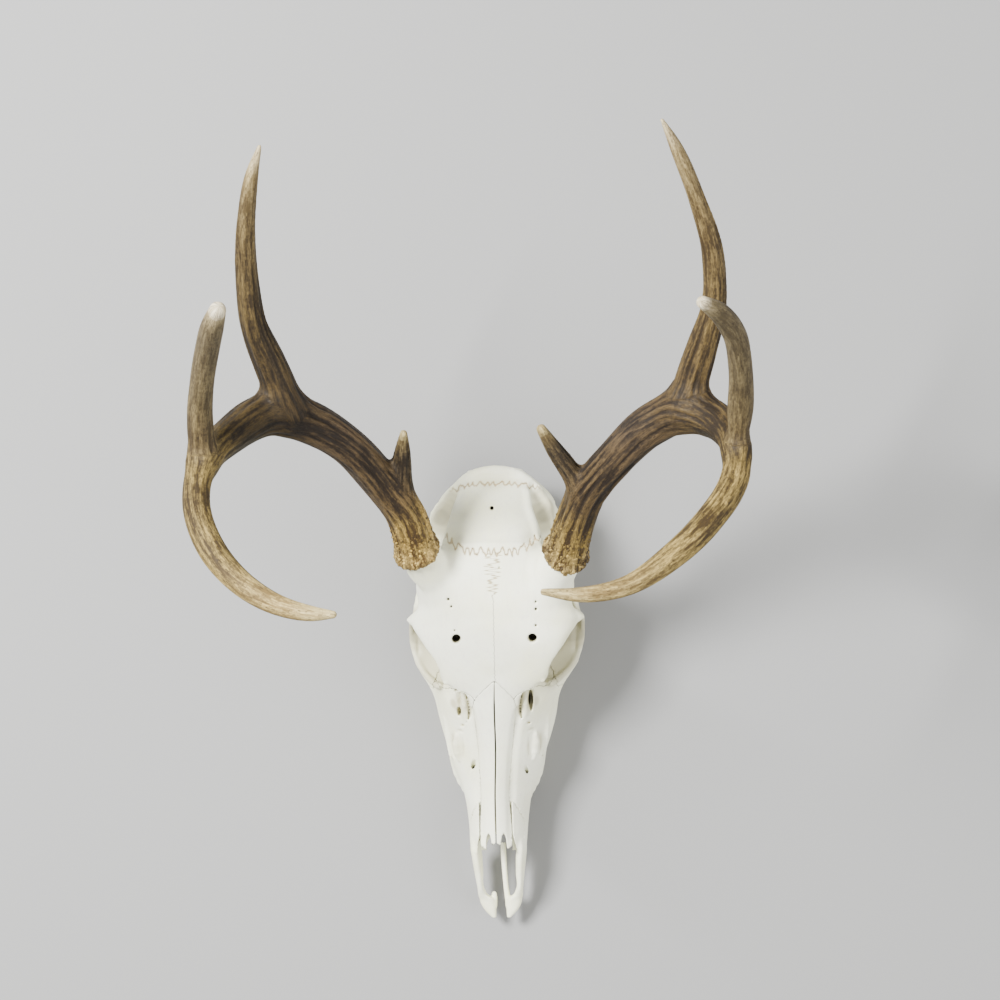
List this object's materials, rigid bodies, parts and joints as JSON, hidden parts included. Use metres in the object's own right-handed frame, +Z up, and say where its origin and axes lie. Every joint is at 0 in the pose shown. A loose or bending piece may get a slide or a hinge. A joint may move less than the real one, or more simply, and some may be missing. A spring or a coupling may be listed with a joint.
{
  "type": "deer skull",
  "caption": "White-tailed buck skull with antlers and no lower jaw, resting on its cheek teeth and the prongs behind its ears.",
  "frame": {"origin": "middle of the part's box, on the table that it rests on", "axes": "+Z up; +Y runs along the skull from the snout to the nape, where the antlers reach furthest; +X towards the animal's left"},
  "size_m": [0.3135, 0.4638, 0.3557],
  "materials": {
    "bone": "dry bone, matte",
    "antler": "dry antler, satin"
  },
  "bodies": {
    "root": {"right_premaxilla": "bone", "left_premaxilla": "bone", "right_nasal_bone": "bone", "left_nasal_bone": "bone", "right_zygomatic_bone": "bone", "left_zygomatic_bone": "bone", "right_temporal_bone": "bone", "left_temporal_bone": "bone", "right_maxilla": "bone", "left_maxilla": "bone", "occipital_bone": "bone", "sphenoid_bone": "bone", "parietal_bone": "bone", "frontal_bone": "bone", "right_burr": "antler", "right_lower_beam": "antler", "right_middle_beam": "antler", "right_beam_tip": "antler", "right_brow_tine": "antler", "right_second_tine": "antler", "right_third_tine": "antler", "left_burr": "antler", "left_lower_beam": "antler", "left_middle_beam": "antler", "left_beam_tip": "antler", "left_brow_tine": "antler", "left_second_tine": "antler", "left_third_tine": "antler"}
  },
  "joints": []
}
